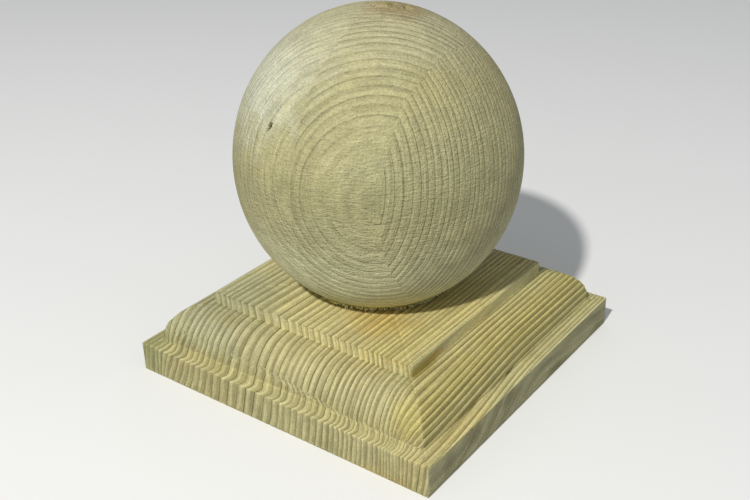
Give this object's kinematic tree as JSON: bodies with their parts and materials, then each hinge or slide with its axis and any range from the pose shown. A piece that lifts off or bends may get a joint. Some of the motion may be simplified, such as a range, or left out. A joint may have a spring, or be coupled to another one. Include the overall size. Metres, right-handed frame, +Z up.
{
  "type": "fence post cap",
  "caption": "Ball-topped wooden cap for a square fence post: a moulded square board carrying a turned ball on a flat seat.",
  "frame": {"origin": "centre of the flat underside that rests on the post", "axes": "+Z up through the ball, +X along the grain of the base board, -Y towards the thinnest lamination of the ball"},
  "size_m": [0.125, 0.125, 0.1304],
  "materials": {
    "base_wood": "planed and moulded, preservative-treated, matt",
    "ball_wood": "turned and sanded, preservative-treated, matt",
    "screw_zinc": "yellow-passivated zinc plate"
  },
  "bodies": {
    "root": {"base_board": "base_wood", "ball_outer_front": "ball_wood", "ball_inner_front": "ball_wood", "ball_inner_back": "ball_wood", "ball_outer_back": "ball_wood", "fixing_screw": "screw_zinc"}
  },
  "joints": []
}
